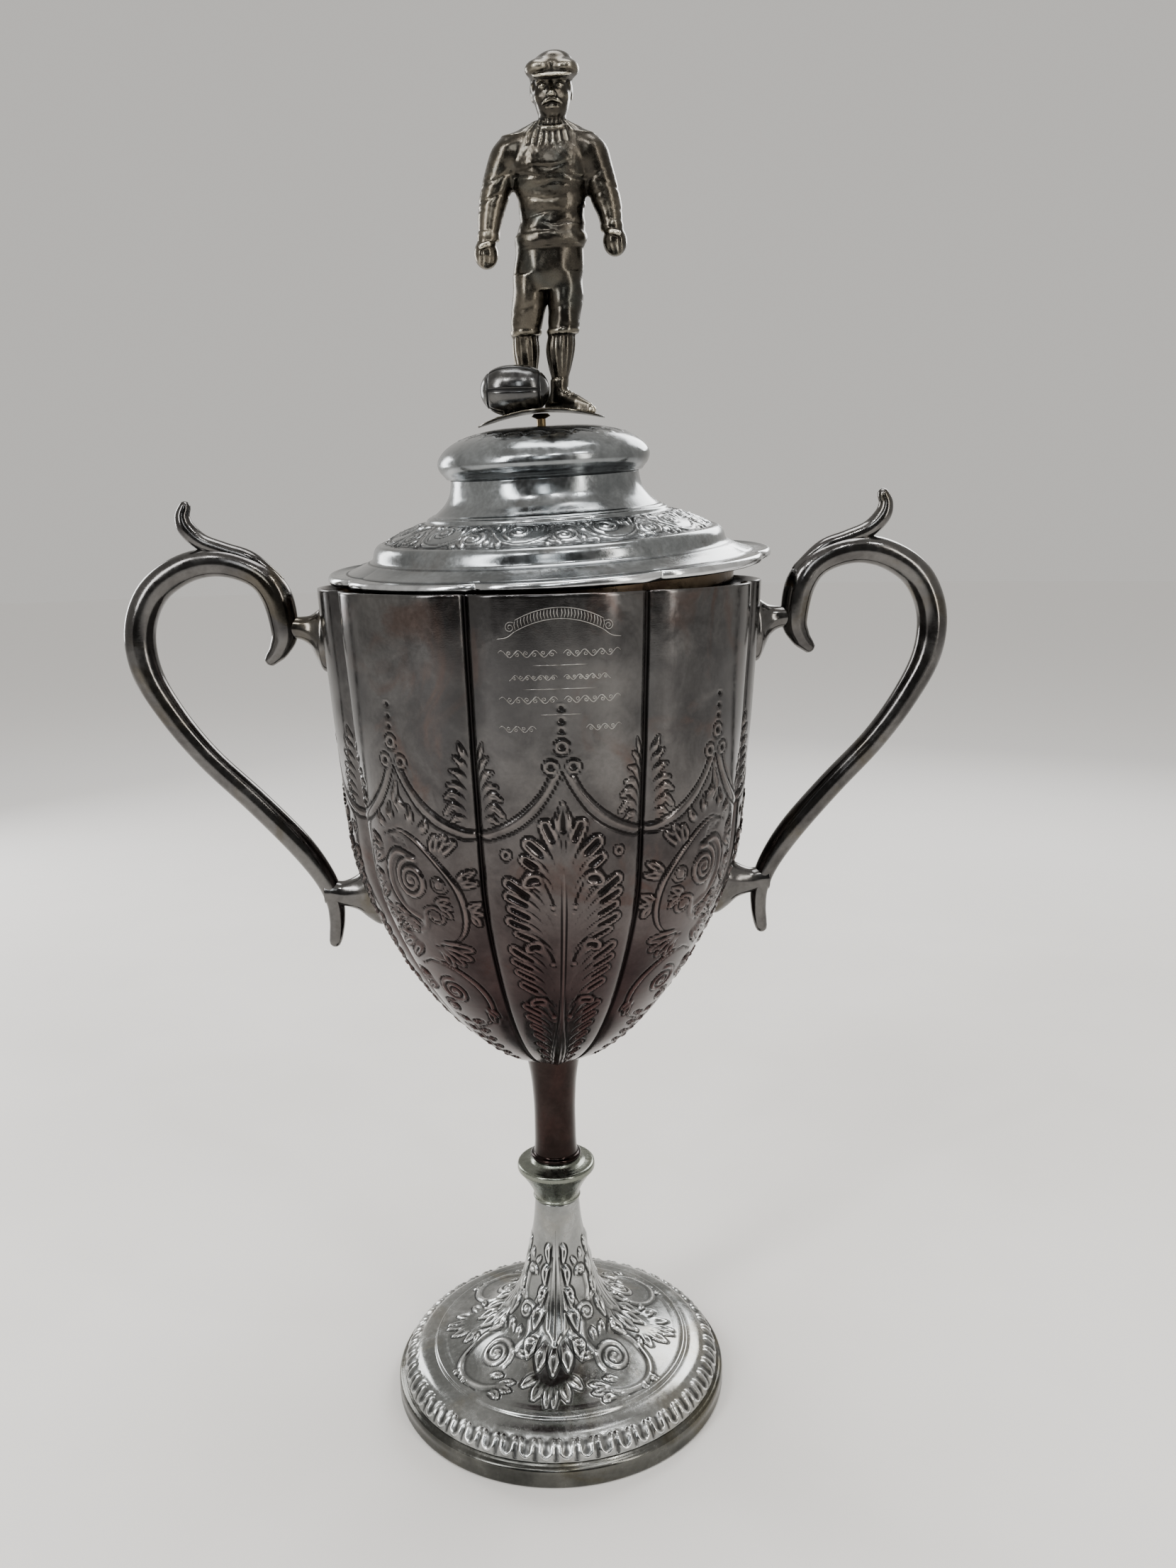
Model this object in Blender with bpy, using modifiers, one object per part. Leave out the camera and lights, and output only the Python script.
"""A two-handled challenge cup: a lobed bowl on a stemmed foot, a lifting lid
that sits slightly askew in its seat, and a sportsman finial on a stud."""

import math

import bmesh
import bpy
from mathutils import Matrix, Vector

MM = 0.001

# Driving dimensions, millimetres. Z is measured up from the table.
GAP = 0.3                    # clearance left between touching pieces
LOBES = 8
RIM_RADIUS = 75.0
RIM_HEIGHT = 304.5
BOWL_BASE_HEIGHT = 133.4
BOWL_BASE_RADIUS = 10.2
BOWL_WALL = 1.3
BOWL_YAW = 3.0               # degrees: the lobes are turned this far from the handles
GROOVE_DEPTH = 4.8
ROD_HOLE_RADIUS = 3.3
ROD_RADIUS = 2.5
ROD_FIT = 2.8                # bore of the washer and plate on the rod
ROD_WASHER_THICKNESS = 1.2
ROD_PLATE_TOP = 43.6
ROD_PLATE_BOTTOM = 41.4
ROD_NUT_ACROSS = 10.0
ROD_NUT_HEIGHT = 4.0

FOOT_RADIUS = 62.3
FOOT_BAND_HEIGHT = 6.1
FOOT_WALL = 1.2
KNOP_RADIUS = 14.4

LID_CREST_RADIUS = 75.0
LID_NOTCH_DEPTH = 3.0
LID_ROUND_RADIUS = 60.0      # inside this the lid is plain round
LID_WALL = 1.3
LID_SHIFT = (3.6, 4.0)       # the lid lies this far to +X and +Y in its seat
LID_YAW = 3.1                # degrees
LID_TILT = 4.1               # degrees
LID_HEIGHT = 311.0           # the middle of the flange, at rest
LID_LOW_SIDE = -36.5         # azimuth of the low side, from the front toward +X
BEZEL_RADIUS = 62.4
BEZEL_DEPTH = 8.0
KNOB_RADIUS = 35.7
KNOB_TOP = 45.2

FINIAL_YAW = -5.9            # the sportsman faces the camera side
PLATE_LENGTH = 42.6
PLATE_DEPTH = 33.0
PLATE_RISE = 3.9
PLATE_WALL = 0.9
PLATE_EDGE_HEIGHT = 1.3
PLATE_SLOPE = 0.02
STUD_RADIUS = 1.5
STUD_WASHER_THICKNESS = 1.0
STUD_WASHER_TOP = -1.2
STUD_NUT_ACROSS = 6.8
STUD_NUT_HEIGHT = 2.6
BALL_LENGTH = 22.8
BALL_RADIUS = 8.1
BALL_CENTRE = (-7.8, -6.0, 11.5)
BALL_TURN = (0.0, 2.0, -4.0)  # degrees
FIGURE_VOXEL = 1.1
FIGURE_KEEP = 0.15           # the share of the fused figure's triangles that stays

HANDLE_THICKNESS = 10.4


def clear_scene():
    for item in list(bpy.data.objects):
        bpy.data.objects.remove(item, do_unlink=True)


def new_collection(name, parent=None):
    made = bpy.data.collections.new(name)
    (parent or bpy.context.scene.collection).children.link(made)
    return made


def metal(name, colour, roughness, metallic=1.0):
    made = bpy.data.materials.new(name)
    made.use_nodes = True
    shader = made.node_tree.nodes["Principled BSDF"]
    shader.inputs["Base Color"].default_value = (*colour, 1.0)
    shader.inputs["Roughness"].default_value = roughness
    shader.inputs["Metallic"].default_value = metallic
    made.diffuse_color = (*colour, 1.0)
    return made


def smooth(points, per_span):
    """A Catmull-Rom curve through the points, per_span steps to each span."""
    points = [Vector(p) for p in points]
    ends = [2 * points[0] - points[1]] + points + [2 * points[-1] - points[-2]]
    out = []
    for a, b, c, d in zip(ends, ends[1:], ends[2:], ends[3:]):
        for step in range(per_span):
            t = step / per_span
            out.append(0.5 * (2 * b + (c - a) * t + (2 * a - 5 * b + 4 * c - d) * t * t
                              + (3 * b - a - 3 * c + d) * t ** 3))
    return out + [points[-1]]


def place(name, data, collection, material, parent=None):
    obj = bpy.data.objects.new(name, data)
    collection.objects.link(obj)
    if material:
        data.materials.append(material)
    obj.parent = parent
    return obj


def mesh_of(name, vertices, faces, rounded=True):
    data = bpy.data.meshes.new(name)
    data.from_pydata([tuple(c * MM for c in v) for v in vertices], [], faces)
    data.validate()
    for face in data.polygons:
        face.use_smooth = rounded
    return data


def turned(name, profile, material, steps=48, parent=None, wall=None):
    """A profile of (radius, height) turned about Z. It runs down its outer side,
    and it is a closed section unless wall gives the thickness of a spun shell."""
    count = len(profile)
    data = bpy.data.meshes.new(name)
    edges = [(i, i + 1) for i in range(count - 1)]
    if wall is None and profile[0][0] > 0:
        edges.append((count - 1, 0))
    data.from_pydata([(r * MM, 0, z * MM) for r, z in profile], edges, [])
    obj = place(name, data, PARTS, material, parent)
    screw = obj.modifiers.new("Turn", "SCREW")
    screw.steps = screw.render_steps = steps
    screw.use_merge_vertices = True
    screw.merge_threshold = 0.0001
    screw.use_smooth_shade = True
    if wall is not None:
        solidify(obj, wall)
    return obj


def solidify(obj, wall, offset=-1.0):
    shell = obj.modifiers.new("Wall", "SOLIDIFY")
    shell.thickness = wall * MM
    shell.offset = offset
    shell.use_even_offset = True
    return shell


def boolean(obj, other, operation):
    tool = obj.modifiers.new(operation.title(), "BOOLEAN")
    tool.operation = operation
    tool.solver = "EXACT"
    tool.object = other
    return tool


def helper(obj):
    """Hides a cutter from the render and moves it to the cutters' collection."""
    for owner in list(obj.users_collection):
        owner.objects.unlink(obj)
    CUTTERS.objects.link(obj)
    obj.hide_render = True
    obj.display_type = "WIRE"
    return obj


def lobe_angles():
    """Angles round the axis, closer together at the grooves between lobes."""
    half = math.pi / LOBES
    shares = (0.0, 0.15, 0.45, 1.0)
    angles = []
    for lobe in range(LOBES):
        groove = (2 * lobe + 1) * half
        angles += [groove + s * half for s in shares]
        angles += [groove + (2 - s) * half for s in shares[-2:0:-1]]
    return angles


def lobe_drop(angle, sharpness=4.0):
    """1 at a groove, 0 at a lobe's crest."""
    half = math.pi / LOBES
    from_groove = abs((angle % (2 * half)) - half) / half
    return (1 - from_groove) ** sharpness


def rings_mesh(name, rings, closed_ends=False):
    """Skins the rings, which run from top to bottom, into a surface facing out."""
    count = len(rings[0])
    vertices = [v for ring in rings for v in ring]
    faces = []
    for i in range(len(rings) - 1):
        for j in range(count):
            k = (j + 1) % count
            faces.append((i * count + j, (i + 1) * count + j,
                          (i + 1) * count + k, i * count + k))
    if closed_ends:
        last = (len(rings) - 1) * count
        faces.append(tuple(range(count)))
        faces.append(tuple(last + j for j in reversed(range(count))))
    return mesh_of(name, vertices, faces)


def bowl_rings(extra=0.0):
    """The bowl's outer surface, rim first, each ring standing extra proud."""
    outline = [(RIM_RADIUS, RIM_HEIGHT), (74.2, 288.9), (73.0, 273.4), (71.9, 257.8),
               (70.4, 242.2), (68.9, 226.7), (66.9, 211.1), (62.6, 197.5), (54.6, 179.9),
               (45.5, 164.4), (34.7, 150.4), (24.0, 140.6), (15.0, 135.0)]
    rings = []
    for radius, height in outline:
        depth = GROOVE_DEPTH * (0.55 * radius / RIM_RADIUS + 0.45 * (radius / RIM_RADIUS) ** 2)
        rings.append([((radius + extra - depth * lobe_drop(a)) * math.cos(a),
                       (radius + extra - depth * lobe_drop(a)) * math.sin(a), height)
                      for a in lobe_angles()])
    return rings


def round_ring(radius, height):
    return [(radius * math.cos(a), radius * math.sin(a), height) for a in lobe_angles()]


def curve_piece(name, points, material, resolution=3, parent=None):
    """A round bar through (x, y, z, thickness) points."""
    data = bpy.data.curves.new(name, "CURVE")
    data.dimensions = "3D"
    data.bevel_depth = 0.5 * MM
    data.bevel_resolution = resolution
    data.use_fill_caps = True
    spline = data.splines.new("POLY")
    spline.points.add(len(points) - 1)
    for point, (x, y, z, thickness) in zip(spline.points, points):
        point.co = (x * MM, y * MM, z * MM, 1)
        point.radius = thickness
    return place(name, data, PARTS, material, parent)


def as_mesh(obj):
    """The curve's evaluated mesh, its caps welded, as an object of the same name."""
    bpy.context.view_layer.update()
    graph = bpy.context.evaluated_depsgraph_get()
    data = bpy.data.meshes.new_from_object(obj.evaluated_get(graph))
    work = bmesh.new()
    work.from_mesh(data)
    bmesh.ops.remove_doubles(work, verts=work.verts, dist=1e-6)
    bmesh.ops.recalc_face_normals(work, faces=work.faces)
    work.to_mesh(data)
    work.free()
    name, parent = obj.name, obj.parent
    bpy.data.objects.remove(obj, do_unlink=True)
    data.name = name
    made = bpy.data.objects.new(name, data)
    made.parent = parent
    PARTS.objects.link(made)
    return made


def limb(work, sections, sides=12):
    """Adds a closed loft of upright oval sections (x, y, z, half width, half depth)."""
    rings = []
    for x, y, z, wide, deep in sections:
        rings.append([work.verts.new(((x + wide * math.cos(t)) * MM,
                                      (y + deep * math.sin(t)) * MM, z * MM))
                      for t in (2 * math.pi * k / sides for k in range(sides))])
    for upper, lower in zip(rings, rings[1:]):
        for k in range(sides):
            m = (k + 1) % sides
            work.faces.new((upper[k], lower[k], lower[m], upper[m]))
    work.faces.new(rings[0])
    work.faces.new(list(reversed(rings[-1])))


def ball(work, centre, radii, turn=None):
    matrix = Matrix.Translation(Vector(centre) * MM)
    if turn:
        matrix = matrix @ turn
    matrix = matrix @ Matrix.Diagonal((*[r * MM for r in radii], 1))
    bmesh.ops.create_uvsphere(work, u_segments=16, v_segments=10, radius=1, matrix=matrix)


def plate_height(x, y):
    """Height of the ground plate's upper face at a point of the plate."""
    half = PLATE_LENGTH / 2
    return PLATE_EDGE_HEIGHT + PLATE_RISE * (1 - (x / half) ** 2) + PLATE_SLOPE * x


# ---------------------------------------------------------------- the cup

def build_foot():
    band = [(60.6, 7.4), (61.6, 7.1), (FOOT_RADIUS, FOOT_BAND_HEIGHT), (FOOT_RADIUS, 0.6),
            (61.8, 0.0), (58.4, 0.0), (58.4, 7.4)]
    turned("foot_band", band, SILVER_LIGHT)
    trumpet = [(8.2, 75.2), (9.2, 64.5), (11.2, 52.5), (13.6, 42.4), (16.4, 35.4),
               (20.6, 29.2), (27.0, 24.0), (36.0, 19.6), (47.2, 16.9)]
    border = [(48.2, 16.1), (55.4, 13.6), (58.2, 11.8), (60.2, 8.2)]
    turned("foot_shell", trumpet + border, SILVER_LIGHT, steps=48, wall=FOOT_WALL)


def build_stem():
    knop = [(8.6, 91.4), (10.0, 90.4), (12.6, 89.4), (13.8, 89.2), (KNOP_RADIUS, 88.4),
            (KNOP_RADIUS, 87.2), (13.6, 86.5), (12.0, 84.2), (9.9, 81.0), (8.9, 78.4),
            (8.3, 75.5), (3.2, 75.5), (3.2, 91.4)]
    turned("stem_knop", knop, SILVER_GREENISH, steps=32)
    tube = [(10.3, BOWL_BASE_HEIGHT - GAP), (9.4, 129.0), (8.3, 122.0), (7.7, 112.0),
            (7.7, 100.0), (8.2, 91.4 + GAP), (6.6, 91.4 + GAP), (6.2, 110.0),
            (7.6, BOWL_BASE_HEIGHT - GAP)]
    turned("stem_tube", tube, SILVER_DARK, steps=24)


def build_bowl():
    rings = bowl_rings() + [round_ring(BOWL_BASE_RADIUS, BOWL_BASE_HEIGHT),
                            round_ring(ROD_HOLE_RADIUS, BOWL_BASE_HEIGHT)]
    bowl = place("bowl", rings_mesh("bowl", rings), PARTS, SILVER_DARK)
    bowl.rotation_euler.z = math.radians(BOWL_YAW)
    solidify(bowl, BOWL_WALL)


def build_tie_rod():
    floor = BOWL_BASE_HEIGHT + BOWL_WALL + GAP
    top = floor + ROD_WASHER_THICKNESS
    washer = [(8.0, top), (8.4, top - 0.4), (8.4, floor), (ROD_FIT, floor), (ROD_FIT, top)]
    turned("rod_washer", washer, BRASS, steps=24)
    head = top + GAP
    rod = [(0.0, head + 4.2), (3.0, head + 3.4), (5.0, head + 1.6), (5.2, head),
           (ROD_RADIUS, head), (ROD_RADIUS, 34.0), (2.1, 33.2), (0.0, 33.2)]
    turned("tie_rod", rod, BRASS, steps=24)
    plate = [(10.4, ROD_PLATE_TOP), (10.8, ROD_PLATE_TOP - 1.0), (10.8, ROD_PLATE_BOTTOM),
             (ROD_FIT, ROD_PLATE_BOTTOM), (ROD_FIT, ROD_PLATE_TOP)]
    turned("rod_plate", plate, BRASS, steps=32)
    hex_nut("rod_nut", ROD_NUT_ACROSS, ROD_NUT_HEIGHT, ROD_PLATE_BOTTOM - GAP, ROD_RADIUS)


def hex_nut(name, across, height, top, rod_radius, parent=None):
    """A six-sided nut on the axis under top, bored to clear its rod."""
    bpy.ops.mesh.primitive_cylinder_add(vertices=6, radius=across / 2 * MM, depth=height * MM,
                                        location=(0, 0, (top - height / 2) * MM))
    nut = bpy.context.object
    nut.name = nut.data.name = name
    adopt(nut, BRASS, parent)
    bore_through(nut, rod_radius + GAP)


def adopt(obj, material, parent=None):
    """Moves an object made by an operator into the parts' collection."""
    for owner in list(obj.users_collection):
        owner.objects.unlink(obj)
    PARTS.objects.link(obj)
    obj.data.materials.append(material)
    obj.parent = parent


def bore_through(obj, radius, length=40.0):
    bpy.ops.mesh.primitive_cylinder_add(vertices=20, radius=radius * MM, depth=length * MM,
                                        location=obj.location)
    cutter = helper(bpy.context.object)
    cutter.name = obj.name + "_bore"
    cutter.parent = obj.parent
    boolean(obj, cutter, "DIFFERENCE")


def handle_line():
    """The scroll handle's centre line on the +X side: (radius, height, thickness)."""
    knots = [(94.1, 279.1, 1.4), (89.3, 282.9, 6.4), (87.3, 290.0, 9.6), (89.6, 301.8, 10.4),
             (96.0, 309.3, 9.4), (107.6, 313.2, 9.6), (119.6, 311.4, 10.0),
             (130.6, 303.8, HANDLE_THICKNESS), (136.0, 291.2, HANDLE_THICKNESS),
             (134.8, 276.6, 10.0), (127.6, 262.0, 9.1), (116.6, 246.8, 8.6),
             (101.0, 230.4, 8.8), (86.4, 214.4, 9.2), (78.0, 201.0, 8.6),
             (75.2, 190.0, 6.2), (76.4, 182.4, 4.4), (77.8, 177.4, 2.2)]
    return smooth(knots, 2)


def thumb_line():
    knots = [(90.0, 309.0, 4.4), (98.4, 314.6, 5.2), (106.8, 317.6, 5.0), (114.0, 320.6, 5.2),
             (118.8, 325.4, 5.2), (119.6, 330.2, 4.2), (116.2, 332.0, 1.4)]
    return smooth(knots, 2)


def oval_loft(name, stations, material):
    """A closed loft along X: (x, z centre, half height, half width) sections."""
    sides = 14
    rings = []
    for x, z, tall, wide in stations:
        rings.append([(x, wide * math.cos(t), z + tall * math.sin(t))
                      for t in (2 * math.pi * k / sides for k in range(sides))])
    data = rings_mesh(name, rings, closed_ends=True)
    work = bmesh.new()
    work.from_mesh(data)
    bmesh.ops.recalc_face_normals(work, faces=work.faces)
    work.to_mesh(data)
    work.free()
    return place(name, data, PARTS, material)


def build_handles(bowl_cutter):
    for side, label in ((-1, "left"), (1, "right")):
        scroll = as_mesh(curve_piece("handle_" + label, [(side * r, 0, z, t) for r, z, t in
                                                         handle_line()], SILVER_DARK))
        thumb = helper(as_mesh(curve_piece("thumb_" + label, [(side * r, 0, z, t) for r, z, t in
                                                              thumb_line()], None, 2)))
        boolean(scroll, thumb, "UNION")
        keep_off = helper(as_mesh(curve_piece("clearance_" + label,
                                              [(side * r, 0, z, t + 2 * GAP) for r, z, t in
                                               handle_line()], None)))
        upper = oval_loft("upper_bracket_" + label,
                          [(side * x, z, tall, wide) for x, z, tall, wide in
                           ((86.5, 291.0, 3.6, 3.6), (82.0, 290.6, 4.0, 3.8),
                            (78.6, 289.4, 5.6, 4.6), (76.2, 287.4, 9.2, 6.2),
                            (74.9, 286.6, 10.8, 7.0), (71.5, 286.6, 10.8, 7.0))], SILVER_DARK)
        lower = oval_loft("lower_bracket_" + label,
                          [(side * x, z, tall, wide) for x, z, tall, wide in
                           ((77.5, 197.0, 4.2, 3.8), (72.5, 196.4, 4.6, 4.2),
                            (68.0, 196.6, 6.4, 5.0), (64.5, 196.8, 9.6, 6.0),
                            (58.0, 196.8, 12.4, 6.6))], SILVER_DARK)
        for bracket in (upper, lower):
            boolean(bracket, keep_off, "DIFFERENCE")
            boolean(bracket, bowl_cutter, "DIFFERENCE")


# ---------------------------------------------------------------- the lid

def lid_empty():
    """An empty at the lid's seat: shifted, turned and tipped as the lid lies."""
    low = math.radians(LID_LOW_SIDE)
    toward_low = Vector((math.sin(low), -math.cos(low), 0))
    tilt = Matrix.Rotation(math.radians(LID_TILT), 4, toward_low.cross(Vector((0, 0, -1))))
    yaw = Matrix.Rotation(math.radians(LID_YAW), 4, "Z")
    seat = bpy.data.objects.new("lid_seat", None)
    PARTS.objects.link(seat)
    seat.matrix_world = Matrix.Translation(Vector((*LID_SHIFT, LID_HEIGHT)) * MM) @ tilt @ yaw
    return seat


def build_lid(seat):
    outline = [(32.0, 28.8), (32.4, 25.0), (34.4, 21.4), (39.0, 17.3), (40.0, 16.3),
               (51.5, 12.5), (57.4, 9.2), (58.9, 7.6), (LID_ROUND_RADIUS, 5.6),
               (64.0, 3.0), (69.5, 1.2), (LID_CREST_RADIUS - 0.6, 0.7),
               (LID_CREST_RADIUS + 0.2, -0.9)]
    rings = []
    for radius, height in outline:
        share = max(0.0, (radius - LID_ROUND_RADIUS) / (LID_CREST_RADIUS - LID_ROUND_RADIUS))
        drop = LID_NOTCH_DEPTH * share ** 1.5
        rings.append([((radius - drop * lobe_drop(a, 3.0)) * math.cos(a),
                       (radius - drop * lobe_drop(a, 3.0)) * math.sin(a), height)
                      for a in lobe_angles()])
    shell = place("lid_shell", rings_mesh("lid_shell", rings), PARTS, SILVER_LIGHT, seat)
    solidify(shell, LID_WALL)
    bezel = [(BEZEL_RADIUS - 1.0, 0.9), (BEZEL_RADIUS, 0.0), (BEZEL_RADIUS, -BEZEL_DEPTH),
             (BEZEL_RADIUS - 1.2, -BEZEL_DEPTH), (BEZEL_RADIUS - 1.2, 0.9)]
    turned("lid_bezel", bezel, BRASS_BROWN, steps=40, parent=seat)
    dome = [(2.2, KNOB_TOP), (14.0, 44.9), (22.0, 43.8), (28.4, 41.8), (32.8, 39.2),
            (35.2, 36.4), (KNOB_RADIUS, 34.4), (34.8, 32.0), (33.2, 29.8), (31.6, 29.4)]
    turned("lid_knob", dome, SILVER_LIGHT, steps=40, parent=seat, wall=1.2)


# ---------------------------------------------------------------- the finial

def build_ground_plate(pin):
    half, deep = PLATE_LENGTH / 2, PLATE_DEPTH / 2
    columns, rows = 16, 6
    vertices, faces = [], []
    for i in range(columns + 1):
        x = -half * math.cos(math.pi * i / columns)
        reach = deep * max(0.06, math.sqrt(1 - min(1, abs(x / half)) ** 2.2))
        for j in range(rows + 1):
            y = reach * (2 * j / rows - 1)
            vertices.append((x, y, plate_height(x, y)))
    for i in range(columns):
        for j in range(rows):
            a = i * (rows + 1) + j
            faces.append((a, a + rows + 1, a + rows + 2, a + 1))
    plate = place("finial_plate", mesh_of("finial_plate", vertices, faces), PARTS, BRONZE, pin)
    solidify(plate, PLATE_WALL)


def build_stud(pin):
    top = plate_height(0, 0) - PLATE_WALL - GAP
    stud = [(0.0, top), (2.4, top - 0.1), (3.2, top - 1.0), (STUD_RADIUS, top - 1.8),
            (STUD_RADIUS, -9.0), (0.0, -9.4)]
    turned("finial_stud", stud, BRASS, steps=20, parent=pin)
    upper = STUD_WASHER_TOP - GAP
    lower = upper - STUD_WASHER_THICKNESS
    washer = [(5.4, upper), (5.4, lower), (STUD_RADIUS + GAP, lower), (STUD_RADIUS + GAP, upper)]
    turned("finial_washer", washer, BRASS, steps=24, parent=pin)
    hex_nut("finial_nut", STUD_NUT_ACROSS, STUD_NUT_HEIGHT, lower - GAP, STUD_RADIUS, pin)


def build_ball(pin, ground):
    bpy.ops.mesh.primitive_uv_sphere_add(segments=20, ring_count=14, radius=1.0,
                                         location=[c * MM for c in BALL_CENTRE])
    game_ball = bpy.context.object
    game_ball.name = game_ball.data.name = "game_ball"
    game_ball.scale = (BALL_LENGTH / 2 * MM, BALL_RADIUS * MM, BALL_RADIUS * MM)
    game_ball.rotation_euler = [math.radians(a) for a in BALL_TURN]
    adopt(game_ball, BRONZE_DARK, pin)
    for face in game_ball.data.polygons:
        face.use_smooth = True
    boolean(game_ball, ground, "DIFFERENCE")


def build_sportsman(pin, ground):
    work = bmesh.new()
    # Jersey.
    limb(work, [(9.0, 4.0, 92.7, 5.0, 4.8), (8.9, 4.1, 90.4, 8.6, 5.4), (8.6, 4.2, 87.8, 13.4, 6.6),
                (8.3, 3.9, 83.2, 14.6, 7.9), (7.9, 3.6, 78.2, 13.4, 8.3), (7.9, 3.8, 72.3, 11.6, 7.5),
                (7.9, 4.0, 66.8, 10.4, 6.9), (7.3, 4.0, 61.3, 10.6, 7.0), (7.0, 4.0, 56.9, 10.9, 7.3)])
    # Breeches.
    limb(work, [(6.5, 4.2, 58.8, 10.4, 6.8), (6.1, 4.4, 53.3, 11.1, 7.4), (5.4, 4.4, 47.9, 11.3, 7.2),
                (4.9, 4.5, 42.4, 10.6, 5.8)])
    limb(work, [(-0.7, 4.5, 47.4, 5.4, 6.2), (-1.2, 4.6, 40.4, 5.8, 6.2), (-2.4, 5.0, 35.0, 5.3, 5.4),
                (-3.2, 5.6, 30.1, 4.9, 4.9), (-3.6, 6.4, 28.1, 4.4, 4.6), (-3.8, 7.4, 23.5, 4.2, 4.6),
                (-3.9, 8.4, 17.5, 3.3, 3.8), (-4.0, 8.8, 12.2, 2.6, 3.0), (-4.1, 8.6, 3.6, 2.8, 3.6)])
    limb(work, [(10.7, 4.4, 47.3, 5.4, 6.2), (10.5, 4.0, 40.4, 5.8, 6.1), (9.9, 3.6, 34.9, 5.2, 5.4),
                (9.4, 3.2, 29.6, 4.8, 4.9), (8.3, 3.4, 27.8, 4.3, 4.5), (7.8, 3.7, 24.0, 4.6, 4.9),
                (7.4, 3.8, 18.5, 3.6, 4.0), (7.0, 3.8, 13.7, 2.5, 2.9), (6.2, 3.6, 3.5, 2.9, 3.4)])
    # Boots.
    ball(work, (10.6, 0.0, 6.9), (7.0, 3.0, 3.2), Matrix.Rotation(math.radians(-38), 4, "Z"))
    ball(work, (-4.4, 8.4, 6.6), (2.9, 5.2, 3.0))
    # Arms, cuffs and fists.
    limb(work, [(-3.9, 4.2, 89.3, 4.4, 4.2), (-6.1, 4.2, 84.3, 4.7, 5.0), (-8.3, 4.2, 78.9, 4.1, 4.6),
                (-11.1, 3.8, 71.0, 4.0, 4.3), (-12.5, 2.6, 64.4, 3.4, 3.7), (-13.2, 1.6, 58.0, 2.5, 2.8)])
    ball(work, (-14.6, 0.9, 54.5), (3.5, 3.8, 4.0))
    limb(work, [(19.8, 4.2, 88.1, 4.4, 4.2), (21.9, 4.2, 83.1, 4.6, 4.9), (23.7, 4.1, 76.1, 4.3, 4.7),
                (25.7, 3.8, 68.4, 4.0, 4.3), (26.4, 2.8, 63.2, 3.3, 3.6), (26.8, 2.0, 59.6, 2.7, 3.0)])
    ball(work, (27.6, 1.2, 56.6), (3.5, 3.7, 3.8))
    # Neck, head and cap.
    limb(work, [(9.6, 4.0, 96.2, 4.4, 4.6), (9.1, 4.2, 91.2, 5.2, 5.0), (9.0, 4.2, 88.2, 5.4, 5.2)])
    ball(work, (9.9, 3.4, 100.0), (6.5, 7.4, 8.2))
    ball(work, (10.6, 3.8, 107.5), (7.9, 8.8, 4.6))
    ball(work, (10.5, -2.6, 104.7), (6.6, 4.6, 1.5))
    data = bpy.data.meshes.new("sportsman")
    work.to_mesh(data)
    work.free()
    man = place("sportsman", data, PARTS, BRONZE, pin)
    skin = man.modifiers.new("Fuse", "REMESH")
    skin.mode = "VOXEL"
    skin.voxel_size = FIGURE_VOXEL * MM
    skin.use_smooth_shade = True
    ease = man.modifiers.new("Ease", "SMOOTH")
    ease.factor, ease.iterations = 0.5, 3
    fewer = man.modifiers.new("Fewer", "DECIMATE")
    fewer.ratio = FIGURE_KEEP
    boolean(man, ground, "DIFFERENCE")


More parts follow.
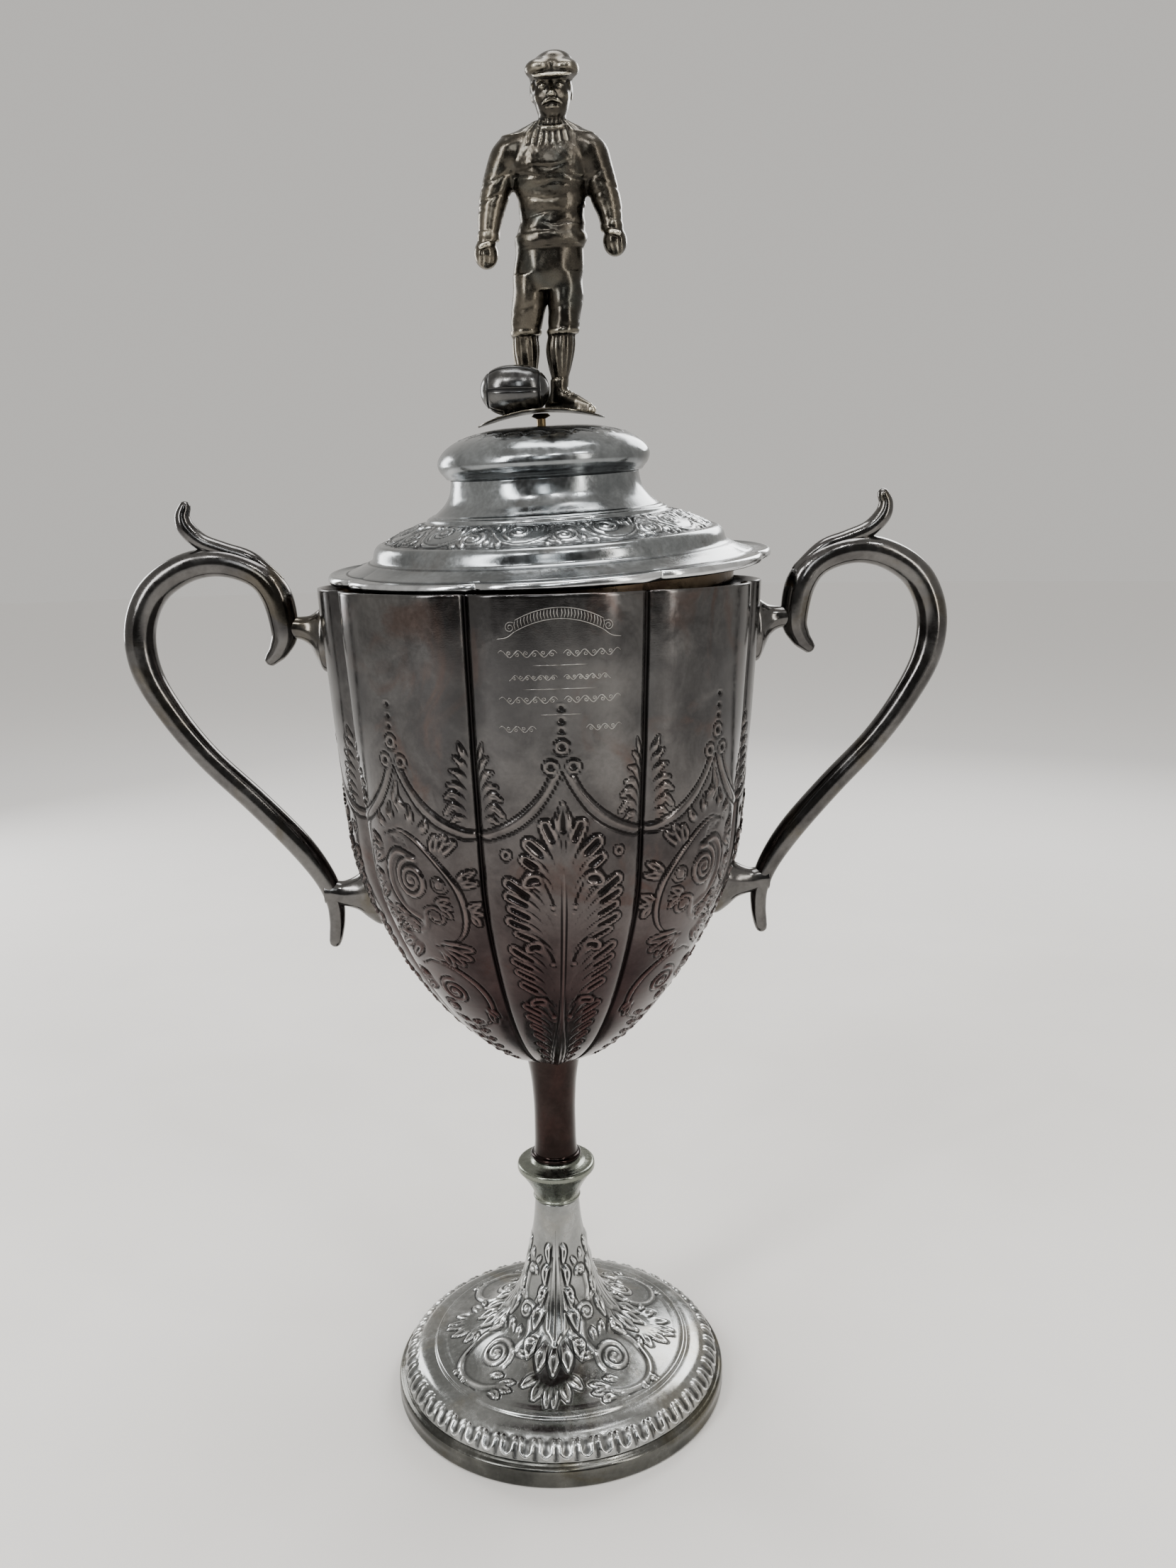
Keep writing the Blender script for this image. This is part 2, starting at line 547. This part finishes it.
def ground_cutter(pin):
    """Everything under the plate's upper face, so that boots stop just above it."""
    margin, columns, floor = 6.0, 12, -20.0
    half, side = PLATE_LENGTH / 2 + margin, PLATE_DEPTH / 2 + margin
    top, bottom = [], []
    for y in (-side, side):
        for i in range(columns + 1):
            x = -half + 2 * half * i / columns
            top.append((x, y, plate_height(x, y) + GAP))
            bottom.append((x, y, floor))
    n = columns + 1
    vertices = top + bottom
    faces = []
    for i in range(columns):
        faces.append((i, i + 1, n + i + 1, n + i))
        faces.append((2 * n + i, 3 * n + i, 3 * n + i + 1, 2 * n + i + 1))
        faces.append((i, 2 * n + i, 2 * n + i + 1, i + 1))
        faces.append((n + i, n + i + 1, 3 * n + i + 1, 3 * n + i))
    faces.append((0, n, 3 * n, 2 * n))
    faces.append((n - 1, 3 * n - 1, 4 * n - 1, 2 * n - 1))
    data = mesh_of("ground", vertices, faces, rounded=False)
    work = bmesh.new()
    work.from_mesh(data)
    bmesh.ops.recalc_face_normals(work, faces=work.faces)
    work.to_mesh(data)
    work.free()
    cutter = place("ground_cutter", data, PARTS, None, pin)
    return helper(cutter)


def build_finial(seat):
    pin = bpy.data.objects.new("finial_pin", None)
    PARTS.objects.link(pin)
    pin.parent = seat
    pin.location = (0, 0, KNOB_TOP * MM)
    pin.rotation_euler = (0, 0, math.radians(FINIAL_YAW))
    build_ground_plate(pin)
    build_stud(pin)
    ground = ground_cutter(pin)
    build_ball(pin, ground)
    build_sportsman(pin, ground)


def main():
    build_foot()
    build_stem()
    build_bowl()
    build_tie_rod()
    rings = bowl_rings(GAP) + [round_ring(BOWL_BASE_RADIUS + GAP, BOWL_BASE_HEIGHT - GAP)]
    cutter = helper(place("bowl_cutter", rings_mesh("bowl_cutter", rings, closed_ends=True),
                          PARTS, None))
    cutter.rotation_euler.z = math.radians(BOWL_YAW)
    build_handles(cutter)
    seat = lid_empty()
    build_lid(seat)
    build_finial(seat)


clear_scene()
PARTS = new_collection("cup_trophy")
CUTTERS = new_collection("cutters")
SILVER_DARK = metal("tarnished_silver_dark", (0.13, 0.12, 0.12), 0.26)
SILVER_LIGHT = metal("tarnished_silver", (0.32, 0.34, 0.35), 0.32)
SILVER_GREENISH = metal("tarnished_silver_greenish", (0.34, 0.37, 0.31), 0.34)
BRONZE = metal("worn_bronze", (0.27, 0.23, 0.16), 0.36)
BRONZE_DARK = metal("dark_bronze", (0.12, 0.12, 0.12), 0.26)
BRASS = metal("brass", (0.45, 0.34, 0.16), 0.40)
BRASS_BROWN = metal("brown_brass", (0.26, 0.18, 0.10), 0.38)
main()
